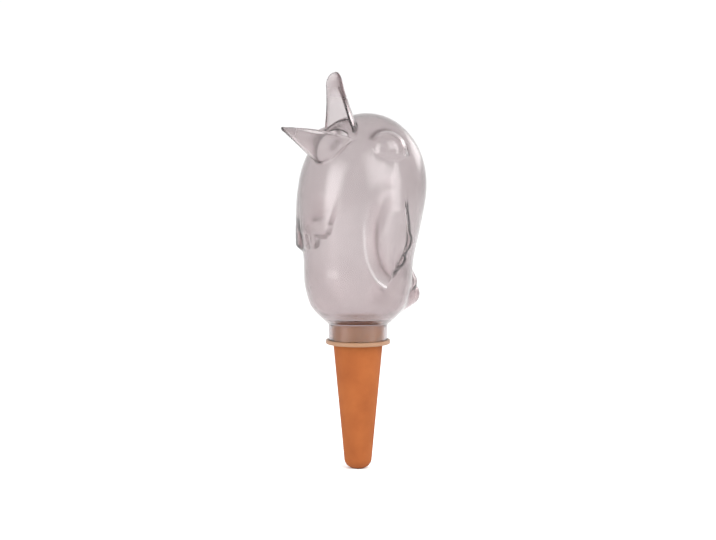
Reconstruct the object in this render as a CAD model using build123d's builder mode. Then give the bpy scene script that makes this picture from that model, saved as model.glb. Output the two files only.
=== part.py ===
from build123d import *
import math
import os

# Self watering spike: a clear moulded bird holds the water and plugs, by a sealing collar, on a clay spike.
# Millimetres. Z runs up the spike's axis from the underside of the collar's flange, where the soil ends.
# The bird looks along -Y, and its left side is at +X.

# Clay spike
spike_radius = 11.9
spike_point_radius = 6.2
spike_depth = 60.6
spike_wall = 3.2
spike_point_round = 5.0
spigot_height = 9.7
rim_round = 0.6

# Sealing collar
collar_wall = 0.8
flange_thickness = 2.0
flange_overhang = 1.4
flange_round = 0.5
lip_width = 1.6
lip_thickness = 1.0
grip_clearance = 0.02
plug_clearance = 0.05

# Bird body: heights and radii of its round stations, with the head as half an ellipsoid above the chest
wall = 1.3
neck_top = 9.5
hip_height = 16.7
hip_radius = 21.6
rump_height = 25.3
rump_radius = 25.0
belly_height = 41.0
belly_radius = 26.4
breast_height = 57.0
breast_radius = 29.0
chest_height = 74.0
chest_radius = 30.8
crown_height = 110.6
lean_angle = 4.6
dome_angles = (22, 42, 60, 74, 84)

# Eyes: the middle of each ball
eye_ball = 9.5
eye_side = 20.6
eye_front = -0.2
eye_height = 94.0

# Wings: they stand out most at the lower tip and sink into the body above the shoulder
shoulder_height = 76.0
wing_tip_height = 30.0
wing_rise = 4.4
wing_sink = 1.2

# Left wing, hanging at the side: front edge and feathers as (along Y, height)
bevel_angle = 36
bevel_plane = 16.0
bevel_reach = 18.0
bevel_edge = [(-8, 150), (-10, 94), (-23, 46), (-17.5, 23.5), (40, 23.5), (40, 150)]
bevel_rounds = [30, 26, 12, 5]
hanging_notches = [(-5.5, 28), (-1.7, 37.9), (5.7, 44.6), (6.6, 62)]
hanging_tips = [(-2, 32.8), (6.8, 39), (11.6, 51)]
hanging_back = [(6.6, 62), (4, 95), (-40, 95), (-40, 20), (-5.5, 20), (-5.5, 28)]

# Right wing, laid on the belly: feathers in front as (along X, height) and at the side as (along Y, height)
belly_notches = [(11.6, 59.5), (0.6, 52.2), (-3.5, 47.6), (-14, 46.2), (-24, 47)]
belly_tips = [(7.6, 53.2), (-0.2, 47.2), (-8.5, 45.0), (-18.5, 43.6)]
belly_back = [(-24, 47), (-45, 47), (-45, 95), (13, 95)]
belly_edge_bulge = (14.6, 74)
side_notches = [(-17, 42), (-8.5, 48.5), (0, 55.5), (6, 66)]
side_tips = [(-11, 43), (-1.5, 49), (7, 57)]
side_back = [(6, 66), (4, 95), (-45, 95), (-45, 30), (-17, 30), (-17, 42)]
side_overlap = 20.0

# Tail: three drop-shaped feathers, each from a narrow root on the back to a round end, on a flat base
tail_ball = 7.6
tail_back = 28.0
tail_height = 22.5
side_tail_ball = 6.8
side_tail_spread = 5.8
side_tail_back = 24.2
side_tail_height = 28.6
feather_length = 20.0
feather_root_radius = 3.0
feather_root_inward = 5.0
tail_base_height = 11.0
tail_base_half_width = 11.0
tail_base_depth = 7.3

# Beak: two gutter-shaped leaves that open from the corners of the mouth
mouth_height = 100.0
mouth_front = -11.6
mouth_half_width = 12.6
beak_wall = 1.4
beak_root = 5.0
upper_lean = 9.6
upper_depth = 8.9
upper_waist = 11.0
upper_waist_half_width = 8.3
upper_waist_depth = 6.5
upper_length = 24.0
upper_end_half_width = 5.8
upper_end_depth = 3.7
upper_tip = 7.0
upper_curl = 3.0
lower_length = 36.5
lower_rise = 9.0
lower_depth = 18.8
lower_end_radius = 1.9
lower_bulge = 1.5
tip_angles = (22, 42, 60, 74, 84)
throat_half_width = 8.0
throat_rise = 4.2
throat_length = 12.5

collar_radius = spike_radius + grip_clearance + collar_wall
neck_bore_radius = collar_radius + plug_clearance
neck_radius = neck_bore_radius + wall
flange_radius = neck_radius + flange_overhang
dome_height = crown_height - chest_height
far = 4 * chest_radius


def lean(height):
    """How far behind the spike's axis the body's middle lies at a height."""
    return max(0, height - belly_height) * math.tan(math.radians(lean_angle))


def stations(inset):
    """Heights and radii of the body's round stations, drawn in by inset."""
    low = [
        (neck_top, neck_radius),
        (hip_height, hip_radius),
        (rump_height, rump_radius),
        (belly_height, belly_radius),
        (breast_height, breast_radius),
        (chest_height, chest_radius),
    ]
    rings = [(height, radius - inset) for height, radius in low]
    for angle in dome_angles:
        turn = math.radians(angle)
        height = chest_height + (dome_height - inset) * math.sin(turn)
        rings.append((height, (chest_radius - inset) * math.cos(turn)))
    return rings


def plain(height):
    """Growth of the bare body."""
    return 0


def relief(height):
    """Growth of the body to the face of a wing."""
    rise = wing_rise * (shoulder_height - height) / (shoulder_height - wing_tip_height)
    return max(rise, -wing_sink)


def torso(inset, growth):
    """Egg of round stations, drawn in by inset and thickened by growth at each height."""
    rings = []
    for height, radius in stations(inset):
        with BuildSketch(Plane((0, lean(height), height), x_dir=(0, 1, 0))) as ring:
            Circle(radius + growth(height))
        rings.append(ring.sketch)
    top = crown_height - inset
    with BuildPart() as form:
        loft(sections=rings + [Vertex(0, lean(top), top)])
    return form.part


def scallops(notches, tips):
    """A row of feather ends: one arc over each tip, from notch to notch."""
    for start, tip, end in zip(notches, tips, notches[1:]):
        ThreePointArc(start, tip, end)


def hanging_wing(inset):
    """Left wing: bevelled along its front edge, scalloped along its feathers behind."""
    with BuildPart() as wing:
        add(torso(inset, relief))
        with BuildSketch(Plane.YZ.offset(bevel_plane)):
            with BuildLine():
                edge = FilletPolyline(*bevel_edge, radius=bevel_rounds)
                Line(edge @ 1, edge @ 0)
            make_face()
            offset(amount=-inset)
        extrude(amount=bevel_reach, taper=bevel_angle, mode=Mode.INTERSECT)
        with BuildSketch(Plane.YZ):
            with BuildLine():
                scallops(hanging_notches, hanging_tips)
                Polyline(*hanging_back)
            make_face()
            offset(amount=-inset)
        extrude(amount=far, mode=Mode.INTERSECT)
    return wing.part


def belly_wing(inset):
    """Right wing: bent forward across the belly, with feather ends along its lower edge."""
    with BuildPart() as wing:
        add(torso(inset, relief))
        with BuildSketch(Plane.XZ):
            with BuildLine():
                ThreePointArc(belly_back[-1], belly_edge_bulge, belly_notches[0])
                scallops(belly_notches, belly_tips)
                Polyline(*belly_back)
            make_face()
            offset(amount=-inset)
        extrude(amount=far, both=True, mode=Mode.INTERSECT)
        with BuildSketch(Plane.YZ.offset(side_overlap)):
            with BuildLine():
                scallops(side_notches, side_tips)
                Polyline(*side_back)
            make_face()
            offset(amount=-inset)
        extrude(amount=-far, mode=Mode.INTERSECT)
    return wing.part


def oval(plane, along, radii, back):
    """Ring of a horn, at a distance along it and set back from its middle line."""
    with BuildSketch(plane.offset(along)) as ring:
        with Locations((0, back)):
            Ellipse(*radii)
    return ring.sketch


def horn(plane, rings, tip, curl):
    """Horn through rings of (along, radii), closed by a round tip that curls back."""
    end, end_radii = rings[-1]
    dome = [oval(plane, end, end_radii, 0)]
    for angle in tip_angles:
        turn = math.radians(angle)
        radii = [radius * math.cos(turn) for radius in end_radii]
        dome.append(oval(plane, end + tip * math.sin(turn), radii, curl * (1 - math.cos(turn))))
    point = plane.from_local_coords((0, curl, end + tip))
    with BuildPart() as form:
        loft(sections=[oval(plane, along, radii, 0) for along, radii in rings])
        loft(sections=dome + [Vertex(*point)])
    return form.part


def feather(side, back, height, ball, inset):
    """One feather of the tail."""
    root = Vector(side / 2, back - feather_root_inward, height + feather_length)
    way = Vector(side, back, height) - root
    rings = [(0, [feather_root_radius - inset] * 2), (way.length, [ball - inset] * 2)]
    return horn(Plane(root, x_dir=(1, 0, 0), z_dir=way), rings, ball - inset, 0)


def tail_base(inset):
    """Flat lobe under the feathers, which runs out of the hips."""
    root = Vector(0, 0, tail_base_height)
    way = Vector(0, tail_back, tail_height) - root
    radii = [tail_base_half_width - inset, tail_base_depth - inset]
    return horn(Plane(root, x_dir=(1, 0, 0), z_dir=way), [(0, radii), (way.length, radii)], radii[1], 0)


def bird(inset):
    """The bird without its beak, drawn in by inset all round."""
    with BuildPart() as form:
        add(torso(inset, plain))
        add(hanging_wing(inset))
        add(belly_wing(inset))
        with Locations((eye_side, eye_front, eye_height), (-eye_side, eye_front, eye_height)):
            Sphere(eye_ball - inset)
        add(tail_base(inset))
        add(feather(0, tail_back, tail_height, tail_ball, inset))
        for side in (side_tail_spread, -side_tail_spread):
            add(feather(side, side_tail_back, side_tail_height, side_tail_ball, inset))
    return form.part


def heading(turn):
    """Direction in the bird's middle plane, turned up from straight ahead."""
    angle = math.radians(turn)
    return Vector(0, -math.cos(angle), math.sin(angle))


def space(plane, rings):
    """The hollow inside a horn, up to where its solid tip begins."""
    sections = []
    for along, radii in rings:
        sections.append(oval(plane, along, [radius - beak_wall for radius in radii], 0))
    with BuildPart() as form:
        loft(sections=sections)
    return form.part


def leaf(shape, hollow, side, rim):
    """One half of the beak: a horn with its hollow taken out, cut open along its rim."""
    with BuildPart() as half:
        add(shape)
        add(hollow, mode=Mode.SUBTRACT)
        with BuildSketch(side):
            with BuildLine():
                edge = Spline(*rim)
                Polyline(edge @ 1, (rim[-1][0], far), (rim[0][0], far), edge @ 0)
            make_face()
        extrude(amount=far, both=True, mode=Mode.INTERSECT)
    return half.part


def root_ring(radii, next_radii, reach):
    """Ring inside the head, with a horn's taper from the mouth to its next ring carried on backwards."""
    return [radius + (radius - after) * beak_root / reach for radius, after in zip(radii, next_radii)]


mouth = (0, mouth_front, mouth_height)
upper_heading = heading(90 - upper_lean)
upper_plane = Plane(mouth, x_dir=(1, 0, 0), z_dir=upper_heading)
upper_side = Plane(mouth, x_dir=upper_heading, z_dir=(-1, 0, 0))
upper_waist_radii = [upper_waist_half_width, upper_waist_depth]
upper_rings = [
    (-beak_root, root_ring([mouth_half_width, upper_depth], upper_waist_radii, upper_waist)),
    (upper_waist, upper_waist_radii),
    (upper_length, [upper_end_half_width, upper_end_depth]),
]
upper_rim = [
    (-2 * beak_root, 0),
    (upper_waist, 0),
    (upper_length, 0),
    (upper_length + 1.5 * upper_tip, 1.5 * upper_curl),
]
upper_horn = horn(upper_plane, upper_rings, upper_tip, upper_curl)

lower_heading = heading(lower_rise)
lower_plane = Plane(mouth, x_dir=heading(lower_rise - 90), z_dir=lower_heading)
lower_side = Plane(mouth, x_dir=lower_heading, z_dir=(1, 0, 0))
lower_end_radii = [lower_end_radius, lower_end_radius]
lower_rings = [
    (-beak_root, root_ring([lower_depth, mouth_half_width], lower_end_radii, lower_length)),
    (lower_length, lower_end_radii),
]
lower_rim = [(-2 * beak_root, 0), (0, 0), (lower_length / 2, -lower_bulge), (lower_length + beak_root, 0)]
lower_horn = horn(lower_plane, lower_rings, lower_end_radius, 0)

with BuildPart() as gutter:
    add(space(lower_plane, lower_rings))
    split(bisect_by=Plane(mouth, z_dir=lower_plane.x_dir), keep=Keep.TOP)

with BuildPart() as reservoir:
    add(bird(0))
    add(leaf(upper_horn, space(upper_plane, upper_rings), upper_side, upper_rim))
    add(leaf(lower_horn, space(lower_plane, lower_rings), lower_side, lower_rim))
    with BuildSketch(Plane.XY.offset(flange_thickness)):
        Circle(neck_radius)
    extrude(amount=neck_top - flange_thickness)
    add(bird(wall), mode=Mode.SUBTRACT)
    with BuildSketch(Plane.XY.offset(flange_thickness)):
        Circle(neck_bore_radius)
    extrude(amount=neck_top - flange_thickness, mode=Mode.SUBTRACT)
    add(gutter.part, mode=Mode.SUBTRACT)
    with BuildSketch(lower_plane.offset(-beak_root)):
        Ellipse(throat_rise, throat_half_width)
    extrude(amount=throat_length, mode=Mode.SUBTRACT)

with BuildPart() as clay_spike:
    with BuildSketch(Plane.XZ) as section:
        with BuildLine():
            Polyline(
                (0, -spike_depth),
                (spike_point_radius, -spike_depth),
                (spike_radius, 0),
                (spike_radius, spigot_height),
                (spike_radius - spike_wall, spigot_height),
                (spike_radius - spike_wall, 0),
                (spike_point_radius - spike_wall, spike_wall - spike_depth),
                (0, spike_wall - spike_depth),
                close=True,
            )
        make_face()
        point = section.vertices().group_by(Axis.Y)[0].sort_by(Axis.X)[-1]
        fillet(point, radius=spike_point_round)
        rim = section.vertices().group_by(Axis.Y)[-1]
        fillet(rim, radius=rim_round)
    revolve(axis=Axis.Z)

with BuildPart() as sealing_collar:
    with BuildSketch(Plane.XZ) as section:
        grip_radius = spike_radius + grip_clearance
        with BuildLine():
            Polyline(
                (grip_radius, 0),
                (flange_radius, 0),
                (flange_radius, flange_thickness),
                (collar_radius, flange_thickness),
                (collar_radius, spigot_height + lip_thickness),
                (spike_radius - lip_width, spigot_height + lip_thickness),
                (spike_radius - lip_width, spigot_height),
                (grip_radius, spigot_height),
                close=True,
            )
        make_face()
        fillet(section.vertices().group_by(Axis.X)[-1], radius=flange_round)
    revolve(axis=Axis.Z)

os.makedirs("parts", exist_ok=True)
for name, piece in (
    ("reservoir", reservoir),
    ("clay_spike", clay_spike),
    ("sealing_collar", sealing_collar),
):
    piece.part.label = name
    export_step(piece.part, f"parts/{name}.step")
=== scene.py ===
import math

import bpy
import numpy as np
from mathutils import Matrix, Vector


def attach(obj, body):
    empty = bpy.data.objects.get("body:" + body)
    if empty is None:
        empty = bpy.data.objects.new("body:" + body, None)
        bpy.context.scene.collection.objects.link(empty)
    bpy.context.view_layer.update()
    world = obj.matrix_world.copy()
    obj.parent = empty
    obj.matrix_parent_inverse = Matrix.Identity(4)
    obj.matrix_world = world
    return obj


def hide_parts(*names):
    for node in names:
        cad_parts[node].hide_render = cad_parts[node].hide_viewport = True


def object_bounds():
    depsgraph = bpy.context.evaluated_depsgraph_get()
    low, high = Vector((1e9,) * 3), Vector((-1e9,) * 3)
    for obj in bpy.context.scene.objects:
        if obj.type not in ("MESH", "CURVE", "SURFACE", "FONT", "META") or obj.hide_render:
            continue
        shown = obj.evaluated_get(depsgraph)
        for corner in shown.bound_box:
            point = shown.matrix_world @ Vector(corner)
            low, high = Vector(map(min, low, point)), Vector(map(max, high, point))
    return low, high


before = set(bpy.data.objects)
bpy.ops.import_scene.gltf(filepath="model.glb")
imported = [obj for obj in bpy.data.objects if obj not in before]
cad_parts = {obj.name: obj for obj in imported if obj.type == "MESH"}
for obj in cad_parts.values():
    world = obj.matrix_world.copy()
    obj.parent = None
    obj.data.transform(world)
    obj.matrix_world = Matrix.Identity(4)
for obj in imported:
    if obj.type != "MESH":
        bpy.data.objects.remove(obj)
cad_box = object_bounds()

# The bird's shell is a field of distances in millimetres, in the part's frame: below zero in the
# plastic, zero on its surface. It is sampled on a grid and meshed. The scene itself is in metres.
# Fillets, blends and edges are the sizes of roundings.
MM = 0.001
CELL = 0.6
GRID_LOW = (-34.0, -52.0, 0.0)
GRID_HIGH = (36.0, 38.0, 134.0)
SETTLE_ROUNDS = 2
SETTLE_STEP = 0.4
SLOPE_STEP = 0.05
LEAST_SQUARED_SLOPE = 0.05

# Wall: grows down from the first of its heights to the second, and is thinner around the mouth
WALL = 1.3
LOW_WALL_HEIGHTS = (48.0, 25.0)
LOW_WALL_GROWTH = 0.6
MOUTH_WALL_REACH = 16.0
MOUTH_WALL_LOSS = 0.5
WALL_EDGE = 0.4

# Neck, open below; overlaps are how far pieces of the field reach into each other
NECK_FOOT = 2.0
NECK_TOP = 9.5
NECK_RADIUS = 14.07
NECK_BORE = NECK_RADIUS - WALL
NECK_FILLET = 0.5
NECK_OVERLAP = 1.0
BODY_OVERLAP = 0.5
HOLLOW_FOOT = 10.5
BORE_OVERLAP = 2.0

# Body: a cone from the neck's top, round sections of (height, radius), and a domed head
BODY = ((13.3, 18.4), (16.7, 21.6), (25.3, 25.0), (41.0, 26.4), (57.0, 29.0), (74.0, 30.8))
CROWN_HEIGHT = 110.6
LEAN_START = 41.0
LEAN_ANGLE = 4.6
LEAN_ROUND = 8.0

# Eyes: balls that meet the head crisply above and run softly into the cheek below
EYE_BALL = 9.5
EYE_PLACE = (20.6, -0.2, 94.0)
EYE_FILLET = 0.5
EYE_LOW_FILLET = 5.0

# Wings lie on the body unrolled: along the girth from the breast, bird's left positive, and height.
# A blade is an oval of (girth, height, half width, half height), a lobe is (girth, height, radius).
GIRTH_RADIUS = 28.0
LEFT_BLADE = (42.0, 57.5, 16.7, 28.5)
LEFT_REAR = (
    (38.0, 25.0),
    (38.8, 30.0),
    (40.4, 33.5),
    (41.6, 36.6),
    (44.0, 37.6),
    (48.5, 38.3),
    (50.7, 39.6),
    (51.5, 41.4),
    (50.9, 43.3),
    (48.9, 44.8),
    (51.6, 46.3),
    (53.3, 48.0),
    (54.0, 50.0),
    (53.3, 52.3),
    (51.4, 54.6),
    (48.5, 57.8),
    (45.4, 66.0),
    (43.0, 80.0),
)
LEFT_REAR_INSIDE = (
    (40.0, 25.0),
    (43.0, 30.0),
    (46.5, 35.0),
    (51.5, 40.0),
    (54.3, 46.0),
    (54.5, 51.0),
    (51.5, 58.0),
    (48.0, 66.0),
    (45.5, 80.0),
)
RIGHT_BLADE = (-15.0, 78.0, 29.5, 41.0)
RIGHT_FOOT = 52.0
RIGHT_LOBES = (
    (5.0, 58.5, 6.2),
    (-1.5, 51.5, 5.0),
    (-8.5, 51.0, 5.4),
    (-20.0, 51.5, 7.5),
    (-32.0, 55.0, 8.0),
    (-43.0, 63.0, 8.0),
)

# Rise of a wing over the body: (most, height of its tip, height of its shoulder). Along the girth
# the left wing falls to a lower rise at its rear, and the right wing takes the shares in its fades.
LEFT_RISE = (6.4, 30.0, 76.0)
LEFT_REAR_RISE = 1.4
LEFT_FALL_GIRTHS = (31.0, 42.0)
RIGHT_RISE = (3.2, 45.0, 76.0)
RIGHT_FADE_GIRTHS = (-22.0, -14.0, -2.0, 4.0)
RIGHT_FADES = (1.0, 0.2, 0.2, 0.4)
RISE_LIMIT = 1.2

# Slopes at the wings' edges, and how softly two edges run into each other, outside and inside
BEVEL_WIDTH = 5.0
STEP_WIDTH = 0.9
RIGHT_STEP_WIDTH = 3.2
TIP_BLEND = 0.05
FOOT_BLEND = 0.5
INNER_BEVEL_WIDTH = 12.0
INNER_STEP_WIDTH = 5.0
INNER_RIGHT_STEP_WIDTH = 10.2
INNER_TIP_BLEND = 0.61
INNER_FOOT_BLEND = 8.3
BEAD_HEIGHT = 0.4
BEAD_WIDTH = 1.1

# Tail: feathers of (side, back, height, end's radius), drops from narrow roots, on a flat base
FEATHERS = ((0.0, 28.0, 22.5, 7.6), (5.8, 24.2, 28.6, 6.8), (-5.8, 24.2, 28.6, 6.8))
FEATHER_INWARD = 5.0
FEATHER_LENGTH = 20.0
FEATHER_ROOT_RADIUS = 3.0
FEATHER_FILLET = 0.8
TAIL_BASE_HEIGHT = 11.0
TAIL_BASE_HALF_WIDTH = 11.0
TAIL_BASE_DEPTH = 7.3
TAIL_FILLET = 3.0

# Beak: two leaves cut from horns, with sizes at stations along them, measured from the mouth
MOUTH = (0.0, -11.6, 100.0)
BEAK_WALL = 1.7
BEAK_ROOT = 5.0
BEAK_FILLET = 1.0
LEAF_FILLET = 1.5
LEAF_WALL_EDGE = 0.6
LEAF_RIM_EDGE = 0.8
LEAF_END_EDGE = 0.5
TIP_CUT = 0.995
UPPER_TURN = 80.4
UPPER_STATIONS = (-5.0, 11.0, 24.0)
UPPER_HALF_WIDTHS = (14.55, 8.3, 5.8)
UPPER_DEPTHS = (9.99, 6.5, 3.7)
UPPER_TIP = 7.0
UPPER_CURL = 3.0
UPPER_WALL_POWER = 3
UPPER_LEAST_HOLLOW = 0.1
LOWER_TURN = 11.0
LOWER_DROP = 0.8
LOWER_STATIONS = (-5.0, 34.4)
LOWER_HALF_WIDTHS = (14.07, 2.3)
LOWER_DEPTHS = (21.1, 2.3)
LOWER_TIP = 2.2
LOWER_BULGE = 1.5
THROAT = (8.5, 3.4)
THROAT_REACH = (-5.0, 7.5)
MOUTH_EDGE = 0.8
GUTTER_EDGE = 0.5

# Painted shade and highlight along the moulding's edges: a line's width or strength, and where it
# starts and fades
EYE_LINE_WIDTH = 1.5
EYE_LINE_TOP = (98.5, 100.5)
EYE_LINE_BACK = (5.0, 6.5)
EYE_LINE_BACK_HEIGHTS = (91.0, 97.0)
REAR_LINE_WIDTH = 0.7
REAR_FADE = (57.0, 68.0)
BEVEL_LINE_STRENGTH = 0.6
BEVEL_FADE = (56.0, 64.0)
# Painted highlight: a share over the left wing's bevel, and a line along its foot
BEVEL_PAINTED_HIGHLIGHT = 0.25
FOOT_LINE_WIDTH = 0.65
FOOT_HEIGHTS = (31.0, 38.0, 57.0, 68.0)
FOOT_SHARES = (1.0, 0.5, 0.3, 0.0)
RIGHT_LINE_STRENGTH = 0.2
RIGHT_LINE_TOP = 57.0
RIM_LINE_STRENGTH = 0.35

# Roughness of the plastic's faces; the beak's tips grow rough along the lower leaf and up the upper
BODY_ROUGHNESS = 0.15
INNER_ROUGHNESS = 0.2
EYE_ROUGHNESS = 0.02
BEAK_ROUGHNESS = 0.16
TIP_ROUGHNESS = 0.45
LOWER_TIP_START = (28.0, 34.0)
UPPER_TIP_START = (112.0, 130.0)

# Colours: the plastic's go from painted highlight on some edges over its plain faces to painted
# shade along edges, and the collar's change from its flange to its sleeve between two heights
PAINTED_HIGHLIGHT = (1, 1, 1, 1)
PLASTIC_PLAIN = (0.77, 0.745, 0.75, 1)
PAINTED_SHADE = (0.12, 0.09, 0.09, 1)
PLASTIC_TINT = (0.41, 0.2, 0.21, 1)
TINT_DENSITY = 150
FLANGE_COLOUR = (0.28, 0.15, 0.08, 0.9)
SLEEVE_COLOUR = (0.9, 0.45, 0.18, 0.45)
SLEEVE_START = (2.0, 2.5)
CLAY_DARK = (0.235, 0.062, 0.014, 1)
CLAY_LIGHT = (0.305, 0.09, 0.022, 1)
CLOUD_SCALE = 70
GRAIN_SCALE = 1800
GRAIN_DEPTH = 0.2
FLOOR_COLOUR = (0.95, 0.95, 0.95, 1)
ROOM_COLOUR = (1, 1, 1, 1)
ROOM_STRENGTH = 1.1

# Camera and stage, in metres and degrees, with the sensor in millimetres; the frame's width is what
# the photograph spans at the target
VIEW_AZIMUTH = 48.0
VIEW_ELEVATION = 6.0
VIEW_DISTANCE = 1.5
FRAME_WIDTH = 0.3437
SENSOR = 36.0
TARGET = Vector((0, 0, 0.0355))
FLOOR_REACH = 40

# Softboxes: turn from the camera to its right, elevation, distance, size and radiance.
# Each is a stack of smaller and smaller layers, which feathers its edge.
SOFTBOXES = {
    "left_softbox": (-54, 12, 0.8, (0.52, 1.0), 4.8),
    "right_softbox": (62, 12, 0.8, (0.34, 0.9), 3.9),
    "key_softbox": (35, 35, 1.0, (1.0, 1.0), 3.8),
    "rim_softbox": (138, 18, 0.8, (0.5, 0.28), 2.3),
}
LAYER_SHARES = (1.0, 0.85, 0.7, 0.55)
LAYER_GAP = 0.002


def smooth_union(a, b, soft):
    """Both of two fields, with a fillet of about the size soft where they meet."""
    share = np.clip(0.5 + 0.5 * (b - a) / soft, 0, 1)
    return b + (a - b) * share - soft * share * (1 - share)


def smooth_common(a, b, soft):
    """What two fields have in common, with a rounded edge."""
    return -smooth_union(-a, -b, soft)


def smooth_cut(a, b, soft):
    """Field a without b, with a rounded edge."""
    return smooth_common(a, -b, soft)


def ramp(value, start, end):
    """Straight rise from 0 at the start to 1 at the end."""
    return np.clip((value - start) / (end - start), 0, 1)


def eased(share):
    """Smooth rise from 0 to 1."""
    share = np.clip(share, 0, 1)
    return share * share * (3 - 2 * share)


def line(distance, width):
    """Weight of a thin line at a distance of zero."""
    return np.exp(-((distance / width) ** 2))


def spline(z, knots):
    """Smooth curve through knots of (height, radius), with its slope."""
    heights, radii = np.array(knots).T
    slopes = np.gradient(radii, heights)
    slopes[-1] = 0
    z = np.clip(z, heights[0], heights[-1])
    n = np.clip(np.searchsorted(heights, z, side="right") - 1, 0, len(heights) - 2)
    span = heights[n + 1] - heights[n]
    t = (z - heights[n]) / span
    rise = radii[n + 1] - radii[n]
    bend_a = slopes[n] * span - rise
    bend_b = rise - slopes[n + 1] * span
    bend = (1 - t) * bend_a + t * bend_b
    value = radii[n] + t * rise + t * (1 - t) * bend
    slope = (rise + (1 - 2 * t) * bend + t * (1 - t) * (bend_b - bend_a)) / span
    return value, slope


def ellipse(u, v, half_u, half_v):
    """Distance from an oval about the origin; its half sizes may change along a horn.

    The slope is kept from vanishing in the oval's middle.
    """
    q = np.hypot(u / half_u, v / half_v)
    slope = np.hypot(u / half_u**2, v / half_v**2) / np.maximum(q, 1e-6)
    return (q - 1) / np.maximum(slope, 0.5 / np.maximum(half_u, half_v))


def ball(x, y, z, middle, radius):
    """Distance from a ball."""
    return np.sqrt((x - middle[0]) ** 2 + (y - middle[1]) ** 2 + (z - middle[2]) ** 2) - radius


def rod(x, y, z, radius, foot, top):
    """Distance from an upright cylinder on the spike's axis."""
    return np.maximum(np.hypot(x, y) - radius, np.maximum(foot - z, z - top))


def drop(x, y, z, root, root_radius, end, end_radius):
    """Distance from a drop that grows from its root to a round end."""
    way = np.subtract(end, root)
    x, y, z = x - root[0], y - root[1], z - root[2]
    share = np.clip((x * way[0] + y * way[1] + z * way[2]) / way.dot(way), 0, 1)
    away = ball(x, y, z, [share * step for step in way], 0)
    return away - root_radius - share * (end_radius - root_radius)


def lean(z):
    """How far behind the spike's axis the body's middle lies."""
    over = z - LEAN_START
    return math.tan(math.radians(LEAN_ANGLE)) * (over + np.sqrt(over**2 + LEAN_ROUND**2)) / 2


def bare_body(x, y, z):
    """Egg of round sections on a cone, with a domed head."""
    around = np.hypot(x, y - lean(z))
    radius, slope = spline(z, BODY)
    brim, brim_radius = BODY[0]
    cone_slope = (brim_radius - NECK_RADIUS) / (brim - NECK_TOP)
    radius = np.where(z < brim, NECK_RADIUS + cone_slope * (z - NECK_TOP), radius)
    slope = np.where(z < brim, cone_slope, slope)
    side = (around - radius) / np.sqrt(1 + slope**2)
    chest, chest_radius = BODY[-1]
    dome = ellipse(around, np.maximum(z - chest, 0), chest_radius, CROWN_HEIGHT - chest)
    return np.where(z > chest, dome, side)


def rising_edge(girth, z, corners):
    """Distance from a line through corners, each higher than the last; positive behind it."""
    away = np.inf
    for (u, v), (next_u, next_v) in zip(corners, corners[1:]):
        run, rise = next_u - u, next_v - v
        share = np.clip(((girth - u) * run + (z - v) * rise) / (run**2 + rise**2), 0, 1)
        away = np.minimum(away, (girth - u - share * run) ** 2 + (z - v - share * rise) ** 2)
    girths, heights = np.array(corners).T
    return np.sqrt(away) * np.where(girth > np.interp(z, heights, girths), 1, -1)


def blade(girth, z, oval):
    """Distance from a wing's oval."""
    mid, height, half_width, half_height = oval
    return ellipse(girth - mid, z - height, half_width, half_height)


def wings(x, y, z, inside):
    """Place along the girth, and distances from the left wing's two edges and the right wing.

    Only the outer face has the right wing's scalloped feather ends.
    """
    girth = np.arctan2(x, lean(z) - y) * GIRTH_RADIUS
    front = blade(girth, z, LEFT_BLADE)
    rear = rising_edge(girth, z, LEFT_REAR_INSIDE if inside else LEFT_REAR)
    blend = INNER_FOOT_BLEND if inside else FOOT_BLEND
    right = smooth_common(blade(girth, z, RIGHT_BLADE), RIGHT_FOOT - z, blend)
    if not inside:
        for lobe_girth, lobe_height, radius in RIGHT_LOBES:
            right = np.minimum(right, np.hypot(girth - lobe_girth, z - lobe_height) - radius)
    return girth, front, rear, right


def rise_at(z, rise):
    """Height of a wing over the body, from its full rise at the tip to none at the shoulder."""
    most, tip, shoulder = rise
    return np.clip(most * (shoulder - z) / (shoulder - tip), 0, RISE_LIMIT * most)


def relief(x, y, z, inside):
    """Height of both wings over the body, plainer and blunter on the inner face."""
    girth, front, rear, right = wings(x, y, z, inside)
    if inside:
        left = -smooth_common(front / INNER_BEVEL_WIDTH, rear / INNER_STEP_WIDTH, INNER_TIP_BLEND)
        left = eased(left)
        right = eased(-right / INNER_RIGHT_STEP_WIDTH)
        bead = 0
    else:
        left = -smooth_common(front / BEVEL_WIDTH, rear / STEP_WIDTH, TIP_BLEND)
        left = np.clip(left, 0, 1)
        right = eased(-right / RIGHT_STEP_WIDTH)
        bead = BEAD_HEIGHT * line(front, BEAD_WIDTH) * (rear < 0) * (1 - ramp(z, *REAR_FADE))
    left_rise = rise_at(z, LEFT_RISE)
    low_rise = np.minimum(left_rise, LEFT_REAR_RISE)
    left_rise = left_rise + (low_rise - left_rise) * ramp(girth, *LEFT_FALL_GIRTHS)
    right_rise = rise_at(z, RIGHT_RISE) * np.interp(girth, RIGHT_FADE_GIRTHS, RIGHT_FADES)
    return left * left_rise + right * right_rise + bead


def tail(x, y, z):
    """Feathers of the tail on their flat base."""
    flat = TAIL_BASE_DEPTH / TAIL_BASE_HALF_WIDTH
    _, back, height, _ = FEATHERS[0]
    base = (0, 0, TAIL_BASE_HEIGHT)
    lobe = drop(x * flat, y, z, base, TAIL_BASE_DEPTH, (0, back, height), TAIL_BASE_DEPTH)
    for side, back, height, radius in FEATHERS:
        root = (side / 2, back - FEATHER_INWARD, height + FEATHER_LENGTH)
        feather = drop(x, y, z, root, FEATHER_ROOT_RADIUS, (side, back, height), radius)
        lobe = smooth_union(lobe, feather, FEATHER_FILLET)
    return lobe


def eye_ball(x, y, z):
    """Distance from the nearer eye."""
    return ball(np.abs(x), y, z, EYE_PLACE, EYE_BALL)


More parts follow.
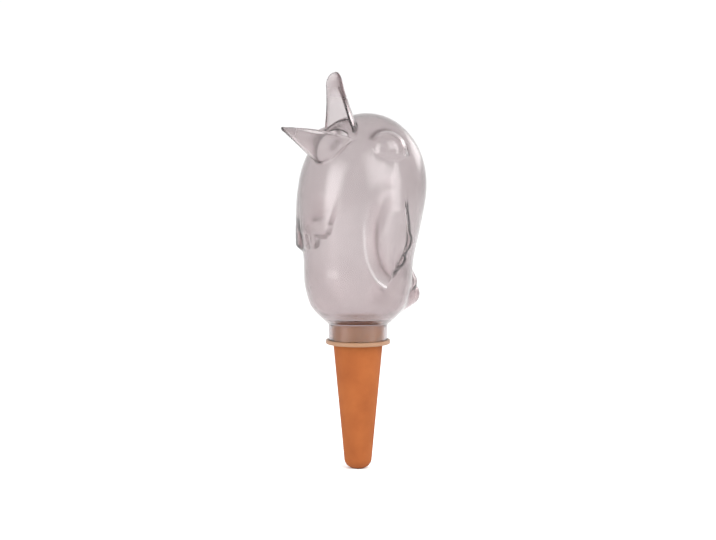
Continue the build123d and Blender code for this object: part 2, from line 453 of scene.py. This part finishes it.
def bird_form(x, y, z, inside):
    """The bird without its beak: its outer face, or its inner face, one wall further in."""
    inset = WALL if inside else 0
    form = bare_body(x, y, z) - relief(x, y, z, inside)
    _, _, eye_height = EYE_PLACE
    below = ramp(z, eye_height, eye_height - EYE_BALL)
    fillet = EYE_FILLET + (EYE_LOW_FILLET - EYE_FILLET) * below
    form = smooth_union(form, eye_ball(x, y, z), fillet + inset)
    return smooth_union(form, tail(x, y, z), TAIL_FILLET) + inset


def along(y, z, turn):
    """How far a point lies from the mouth, in a direction turned up from straight ahead."""
    turn = math.radians(turn)
    return (MOUTH[1] - y) * math.cos(turn) + (z - MOUTH[2]) * math.sin(turn)


def through(stations, sizes, a):
    """Size of a horn along it, on the smooth curve through its stations."""
    curve = np.polyfit(stations, sizes, len(stations) - 1)
    return np.polyval(curve, np.clip(a, stations[0], stations[-1]))


def round_tip(a, end, length):
    """Share of its size that a horn keeps past its last station, where it ends round.

    It stops just short of a point, where the field has no slope.
    """
    return np.sqrt(1 - np.clip((a - end) / length, 0, TIP_CUT) ** 2)


def upper_leaf(x, y, z):
    """Upper half of the beak, standing up, with a thick round tip that curls back."""
    a = along(y, z, UPPER_TURN)
    _, waist, end = UPPER_STATIONS
    half_width = through(UPPER_STATIONS, UPPER_HALF_WIDTHS, a)
    depth = through(UPPER_STATIONS, UPPER_DEPTHS, a)
    narrow = round_tip(a, end, UPPER_TIP)
    c = along(y, z, UPPER_TURN + 90) - UPPER_CURL * (1 - narrow)
    horn = ellipse(x, c, half_width * narrow, depth * narrow)
    thicker = (UPPER_DEPTHS[-1] - BEAK_WALL) * ramp(a, waist, end) ** UPPER_WALL_POWER
    wall = BEAK_WALL + thicker
    hollow = ellipse(x, c, half_width - wall, np.maximum(depth - wall, UPPER_LEAST_HOLLOW))
    leaf = smooth_common(smooth_cut(horn, hollow, LEAF_WALL_EDGE), -c, LEAF_RIM_EDGE)
    return smooth_common(leaf, np.maximum(a - end - UPPER_TIP, -a - BEAK_ROOT), LEAF_END_EDGE)


def lower_horn(x, y, z, inset):
    """Place along and across the lower beak, and distance from its horn, drawn in by inset."""
    a = along(y, z, LOWER_TURN)
    c = along(y, z, LOWER_TURN - 90) - LOWER_DROP
    end = LOWER_STATIONS[-1]
    tip = LOWER_TIP - inset
    narrow = round_tip(a, end, tip)
    half_width = (through(LOWER_STATIONS, LOWER_HALF_WIDTHS, a) - inset) * narrow
    depth = (through(LOWER_STATIONS, LOWER_DEPTHS, a) - inset) * narrow
    horn = ellipse(x, c, half_width, depth)
    return a, c, smooth_common(horn, np.maximum(a - end - tip, -a - BEAK_ROOT), LEAF_END_EDGE)


def arch(a):
    """How far the lower leaf's rim is arched."""
    half = LOWER_STATIONS[-1] / 2
    return LOWER_BULGE * np.clip(1 - ((a - half) / half) ** 2, 0, 1)


def lower_leaf(x, y, z):
    """Lower half of the beak, a pointed gutter with a slightly arched rim."""
    a, c, horn = lower_horn(x, y, z, 0)
    _, _, hollow = lower_horn(x, y, z, BEAK_WALL)
    gutter = smooth_cut(horn, hollow, LEAF_WALL_EDGE)
    return smooth_common(gutter, -c - arch(a), LEAF_RIM_EDGE)


def mouth_space(x, y, z):
    """The gutter's hollow and the throat above it, which open into the head."""
    a, c, hollow = lower_horn(x, y, z, BEAK_WALL)
    start, end = THROAT_REACH
    throat = np.maximum(ellipse(x, c, *THROAT), np.maximum(start - a, a - end))
    return np.minimum(smooth_common(hollow, -c, GUTTER_EDGE), throat)


def cavity(x, y, z):
    """Space for the water, with the neck's bore."""
    growth = LOW_WALL_GROWTH * ramp(z, *LOW_WALL_HEIGHTS)
    growth = growth - MOUTH_WALL_LOSS * line(ball(x, y, z, MOUTH, 0), MOUTH_WALL_REACH)
    hollow = np.maximum(bird_form(x, y, z, inside=True) + growth, HOLLOW_FOOT - z)
    bore = rod(x, y, z, NECK_BORE, NECK_FOOT - NECK_OVERLAP, HOLLOW_FOOT + BORE_OVERLAP)
    return smooth_union(hollow, bore, NECK_FILLET)


def bird(x, y, z):
    """The whole moulded shell."""
    body = np.maximum(bird_form(x, y, z, inside=False), NECK_TOP - BODY_OVERLAP - z)
    neck = rod(x, y, z, NECK_RADIUS, NECK_FOOT, NECK_TOP + NECK_OVERLAP)
    beak = smooth_union(upper_leaf(x, y, z), lower_leaf(x, y, z), LEAF_FILLET)
    shell = smooth_union(smooth_union(body, neck, NECK_FILLET), beak, BEAK_FILLET)
    shell = smooth_cut(shell, cavity(x, y, z), WALL_EDGE)
    return smooth_cut(shell, mouth_space(x, y, z), MOUTH_EDGE)


def surface_net(field, low, cell):
    """Closed mesh of quads where a sampled field is zero.

    Each cell that the surface crosses has one point, the mean of the crossings on its edges. Each
    crossed edge has one quad, through the four cells around it.
    """
    cells = np.array(field.shape) - 1
    sums = np.zeros((int(cells.prod()), 4), np.float32)
    quads = []
    for axis in range(3):
        here = [slice(None)] * 3
        there = [slice(None)] * 3
        here[axis], there[axis] = slice(None, -1), slice(1, None)
        for across in range(3):
            if across != axis:
                here[across] = there[across] = slice(1, -1)
        a, b = field[tuple(here)], field[tuple(there)]
        at = np.argwhere((a < 0) != (b < 0))
        first, second = a[tuple(at.T)], b[tuple(at.T)]
        at += [0 if n == axis else 1 for n in range(3)]
        place = at.astype(np.float32)
        place[:, axis] += first / (first - second)
        u, v = [n for n in range(3) if n != axis]
        ring = []
        for step_u, step_v in ((0, 0), (1, 0), (1, 1), (0, 1)):
            corner = at.copy()
            corner[:, u] -= step_u
            corner[:, v] -= step_v
            index = np.ravel_multi_index(corner.T, cells)
            np.add.at(sums, index, np.c_[place, np.ones(len(place))])
            ring.append(index)
        ring = np.stack(ring, 1)
        # Each quad faces out of the plastic
        turned = (first > 0) ^ (axis == 1)
        quads.append(np.where(turned[:, None], ring[:, ::-1], ring))
    used = np.flatnonzero(sums[:, 3])
    number = np.full(len(sums), -1)
    number[used] = np.arange(len(used))
    points = sums[used, :3] / sums[used, 3:] * cell + low
    return points.astype(np.float64), number[np.concatenate(quads)]


def slopes_of(points, field):
    """Steepest slope of a field at points."""
    sides = np.eye(3) * SLOPE_STEP
    rises = [field(*(points + side).T) - field(*(points - side).T) for side in sides]
    return np.stack(rises, 1) / (2 * SLOPE_STEP)


def settle(points, field):
    """Moves points onto the surface of a field along its steepest slope."""
    for _ in range(SETTLE_ROUNDS):
        slope = slopes_of(points, field)
        squared = np.maximum((slope**2).sum(1), LEAST_SQUARED_SLOPE)
        step = np.clip(field(*points.T) / squared, -SETTLE_STEP, SETTLE_STEP)
        points = points - step[:, None] * slope
    return points


def evened(points, quads):
    """Each point drawn halfway to the mean of its neighbours."""
    total = np.zeros((len(points), 4))
    for n in range(4):
        start, end = quads[:, n], quads[:, (n + 1) % 4]
        np.add.at(total, start, np.c_[points[end], np.ones(len(end))])
        np.add.at(total, end, np.c_[points[start], np.ones(len(start))])
    return 0.5 * points + 0.5 * total[:, :3] / total[:, 3:]


def bird_surface():
    """Points and quads of the bird's surface."""
    sides = [np.arange(low, high, CELL) for low, high in zip(GRID_LOW, GRID_HIGH)]
    grid = np.meshgrid(*sides, indexing="ij", sparse=True)
    points, quads = surface_net(bird(*grid).astype(np.float32), np.array(GRID_LOW), CELL)
    points = settle(points, bird)
    points = settle(evened(points, quads), bird)
    return points, quads


def eye_painted_shade(x, y, z):
    """Painted shade in lines where the eyes meet the head, over and behind them."""
    body = bare_body(x, y, z) - relief(x, y, z, inside=False)
    low, high = EYE_LINE_BACK_HEIGHTS
    top = ramp(z, *EYE_LINE_TOP)
    back = ramp(y, *EYE_LINE_BACK) * ((z > low) & (z < high))
    return line(np.maximum(eye_ball(x, y, z), body), EYE_LINE_WIDTH) * np.maximum(top, back)


def wing_painted_light(x, y, z):
    """Painted shade along the wings' edges, painted highlight on the left wing's foot and bevel."""
    _, front, rear, right = wings(x, y, z, inside=False)
    on_wing = rear < 0
    past_bevel = front < -0.5 * BEVEL_WIDTH
    # Painted shade along the rear step, the bevel's inner edge and the right wing's feather ends
    edge = line(rear + 0.5 * STEP_WIDTH, REAR_LINE_WIDTH) * past_bevel * (1 - ramp(z, *REAR_FADE))
    inner = line(front + BEVEL_WIDTH, STEP_WIDTH) * on_wing * (1 - ramp(z, *BEVEL_FADE))
    feathers = line(right + 0.5 * RIGHT_STEP_WIDTH, STEP_WIDTH) * (z < RIGHT_LINE_TOP)
    dark = np.maximum(edge, BEVEL_LINE_STRENGTH * inner)
    dark = np.maximum(dark, RIGHT_LINE_STRENGTH * feathers)
    # Painted highlight along the foot and over the bevel
    on_bevel = (front < 0) & (front > -BEVEL_WIDTH)
    foot = np.maximum(line(front, FOOT_LINE_WIDTH), BEVEL_PAINTED_HIGHLIGHT * on_bevel)
    return dark, foot * on_wing * np.interp(z, FOOT_HEIGHTS, FOOT_SHARES)


def rim_painted_shade(x, y, z):
    """Painted shade in lines along the rims of the beak's leaves."""
    upper = line(along(y, z, UPPER_TURN + 90), STEP_WIDTH) * (along(y, z, UPPER_TURN) > 0)
    a, c, _ = lower_horn(x, y, z, 0)
    return RIM_LINE_STRENGTH * np.maximum(upper, line(c + arch(a), STEP_WIDTH))


def painted_light_lines(points, outside):
    """Painted light on the moulding's edges: a half is plain, 1 is dark painted shade, 0 a bright
    painted highlight.
    """
    x, y, z = points.T
    dark, bright = wing_painted_light(x, y, z)
    body_shade = np.maximum(eye_painted_shade(x, y, z), dark) - bright
    beak_shade = rim_painted_shade(x, y, z) * (outside > 0.5 * WALL)
    return 0.5 + 0.5 * np.where(np.abs(outside) < 0.5 * WALL, body_shade, beak_shade)


def polish(points, outside):
    """Roughness of the body, its inner face, the beak with its tips, and the eyes."""
    x, y, z = points.T
    roughness = np.full(len(points), BEAK_ROUGHNESS)
    roughness[np.abs(outside) < 0.5 * WALL] = BODY_ROUGHNESS
    roughness[outside < -0.5 * WALL] = INNER_ROUGHNESS
    lower_tip = ramp(along(y, z, LOWER_TURN), *LOWER_TIP_START)
    upper_tip = ramp(z, *UPPER_TIP_START)
    roughness += (TIP_ROUGHNESS - roughness) * np.maximum(lower_tip, upper_tip)
    roughness[(eye_ball(x, y, z) < 0.5 * WALL) & (outside > -0.5 * WALL)] = EYE_ROUGHNESS
    return roughness


def add(name, data):
    """New object in the scene."""
    thing = bpy.data.objects.new(name, data)
    bpy.context.scene.collection.objects.link(thing)
    return thing


def keep(mesh, name, values):
    """Keeps a value for each point of a mesh, for its material."""
    attribute = mesh.attributes.new(name, "FLOAT", "POINT")
    attribute.data.foreach_set("value", values.astype(np.float32))


def make_bird():
    """The bird's shell as one mesh."""
    points, quads = bird_surface()
    mesh = bpy.data.meshes.new("bird_shell")
    mesh.from_pydata((points * MM).tolist(), [], quads.tolist())
    mesh.shade_smooth()
    normals = slopes_of(points, bird)
    normals /= np.linalg.norm(normals, axis=1)[:, None]
    mesh.normals_split_custom_set_from_vertices(normals.tolist())
    outside = bird_form(*points.T, inside=False)
    keep(mesh, "polish", polish(points, outside))
    # Painted shade and painted highlight along the moulding's edges, for the material's colour
    keep(mesh, "painted_light", painted_light_lines(points, outside))
    piece = add("bird_shell", mesh)
    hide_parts("reservoir")
    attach(piece, "bird")
    return piece


def new_material(name):
    """New node material, with its node tree and shader."""
    material = bpy.data.materials.new(name)
    material.use_nodes = True
    return material, material.node_tree, material.node_tree.nodes["Principled BSDF"]


def set_inputs(node, values):
    """Sets a node's sockets by their names."""
    for name, value in values.items():
        node.inputs[name].default_value = value


def kept_value(tree, name):
    """A value that the mesh keeps for each point."""
    node = tree.nodes.new("ShaderNodeAttribute")
    node.attribute_name = name
    return node.outputs["Fac"]


def colour_ramp(tree, factor, stops):
    """Colour ramp through stops of (position, colour), the lowest first."""
    node = tree.nodes.new("ShaderNodeValToRGB")
    elements = node.color_ramp.elements
    for position, _ in stops[1:-1]:
        elements.new(position)
    for element, (position, colour) in zip(elements, stops):
        element.position = position
        element.color = colour
    tree.links.new(factor, node.inputs["Fac"])
    return node


def noise(tree, place, scale, detail):
    """Cloudy texture in the piece's own frame."""
    node = tree.nodes.new("ShaderNodeTexNoise")
    set_inputs(node, {"Scale": scale, "Detail": detail})
    tree.links.new(place.outputs["Object"], node.inputs["Vector"])
    return node.outputs["Fac"]


def clear_plastic():
    """Clear moulded plastic, faintly mauve, with polished eyes, a satin body and painted shade and
    highlight on its edges.
    """
    material, tree, shader = new_material("clear_plastic")
    set_inputs(shader, {"Transmission Weight": 1, "IOR": 1.49})
    painted_light = kept_value(tree, "painted_light")
    # Painted highlight at 0, the plastic's plain colour at a half, painted shade at 1
    stops = ((0, PAINTED_HIGHLIGHT), (0.5, PLASTIC_PLAIN), (1, PAINTED_SHADE))
    colours = colour_ramp(tree, painted_light, stops)
    tree.links.new(colours.outputs["Color"], shader.inputs["Base Color"])
    # Painted highlights also have a strong, dull coat
    shine = tree.nodes.new("ShaderNodeMapRange")
    set_inputs(shine, {"From Max": 0.5, "To Min": 1, "To Max": 0})
    tree.links.new(painted_light, shine.inputs["Value"])
    tree.links.new(shine.outputs["Result"], shader.inputs["Coat Weight"])
    set_inputs(shader, {"Coat IOR": 4, "Coat Roughness": 0.5})
    tree.links.new(kept_value(tree, "polish"), shader.inputs["Roughness"])
    tint = tree.nodes.new("ShaderNodeVolumeAbsorption")
    set_inputs(tint, {"Color": PLASTIC_TINT, "Density": TINT_DENSITY})
    tree.links.new(tint.outputs["Volume"], tree.nodes["Material Output"].inputs["Volume"])
    return material


def milky_plastic():
    """Soft plastic of the collar: a clear sleeve, which shows the clay, on a beige flange."""
    material, tree, shader = new_material("milky_plastic")
    set_inputs(shader, {"Roughness": 0.4})
    place = tree.nodes.new("ShaderNodeTexCoord")
    height = tree.nodes.new("ShaderNodeSeparateXYZ")
    tree.links.new(place.outputs["Object"], height.inputs["Vector"])
    zone = tree.nodes.new("ShaderNodeMapRange")
    start, end = SLEEVE_START
    set_inputs(zone, {"From Min": start * MM, "From Max": end * MM})
    tree.links.new(height.outputs["Z"], zone.inputs["Value"])
    colours = colour_ramp(tree, zone.outputs["Result"], ((0, FLANGE_COLOUR), (1, SLEEVE_COLOUR)))
    tree.links.new(colours.outputs["Color"], shader.inputs["Base Color"])
    tree.links.new(colours.outputs["Alpha"], shader.inputs["Alpha"])
    return material


def terracotta():
    """Unglazed fired clay."""
    material, tree, shader = new_material("terracotta")
    set_inputs(shader, {"Roughness": 0.85, "Specular IOR Level": 0.25})
    place = tree.nodes.new("ShaderNodeTexCoord")
    cloud = noise(tree, place, CLOUD_SCALE, 6)
    colours = colour_ramp(tree, cloud, ((0.3, CLAY_DARK), (0.75, CLAY_LIGHT)))
    tree.links.new(colours.outputs["Color"], shader.inputs["Base Color"])
    bump = tree.nodes.new("ShaderNodeBump")
    set_inputs(bump, {"Strength": 0.25, "Distance": GRAIN_DEPTH * MM})
    tree.links.new(noise(tree, place, GRAIN_SCALE, 4), bump.inputs["Height"])
    tree.links.new(bump.outputs["Normal"], shader.inputs["Normal"])
    return material


def floor_paint():
    """Pale matt floor."""
    material, _, shader = new_material("floor")
    set_inputs(shader, {"Base Color": FLOOR_COLOUR, "Roughness": 0.9, "Specular IOR Level": 0})
    return material


def dress(piece, material):
    """Gives a piece one material."""
    piece.data.materials.clear()
    piece.data.materials.append(material)


def make_floor():
    """Wide pale floor under the spike's point."""
    low, _ = cad_box
    sides = ((-1, -1), (1, -1), (1, 1), (-1, 1))
    corners = [(x * FLOOR_REACH, y * FLOOR_REACH, low.z) for x, y in sides]
    mesh = bpy.data.meshes.new("floor")
    mesh.from_pydata(corners, [], [(0, 1, 2, 3)])
    floor = add("floor", mesh)
    dress(floor, floor_paint())


def direction(azimuth, elevation):
    """From the object towards a place around it."""
    a, e = math.radians(azimuth), math.radians(elevation)
    return Vector((math.sin(a) * math.cos(e), -math.cos(a) * math.cos(e), math.sin(e)))


def aim(thing, back, distance):
    """Places a camera or light at a distance from the target, and turns it to look there."""
    thing.location = TARGET + back * distance
    thing.rotation_euler = back.to_track_quat("Z", "Y").to_euler()


def make_camera():
    """Camera at the photograph's viewing angle."""
    data = bpy.data.cameras.new("camera")
    data.sensor_width = SENSOR
    data.lens = SENSOR * VIEW_DISTANCE / FRAME_WIDTH
    camera = add("camera", data)
    aim(camera, direction(VIEW_AZIMUTH, VIEW_ELEVATION), VIEW_DISTANCE)
    bpy.context.scene.camera = camera


def softbox(name, turn, elevation, distance, size, radiance):
    """Feathered rectangular light that looks at the object."""
    back = direction(VIEW_AZIMUTH + turn, elevation)
    for n, share in enumerate(LAYER_SHARES):
        data = bpy.data.lights.new(name, "AREA")
        data.shape = "RECTANGLE"
        data.size, data.size_y = size[0] * share, size[1] * share
        data.energy = radiance / len(LAYER_SHARES) * math.pi * data.size * data.size_y
        aim(add(name, data), back, distance + n * LAYER_GAP)


def make_lights():
    """Softboxes beside, before and behind the object, in a bright room."""
    for name, setting in SOFTBOXES.items():
        softbox(name, *setting)
    world = bpy.data.worlds.new("room")
    bpy.context.scene.world = world
    world.use_nodes = True
    background = world.node_tree.nodes["Background"]
    set_inputs(background, {"Color": ROOM_COLOUR, "Strength": ROOM_STRENGTH})
    bpy.context.scene.view_settings.view_transform = "Standard"


dress(make_bird(), clear_plastic())
dress(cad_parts["sealing_collar"], milky_plastic())
dress(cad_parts["clay_spike"], terracotta())
make_floor()
make_camera()
make_lights()
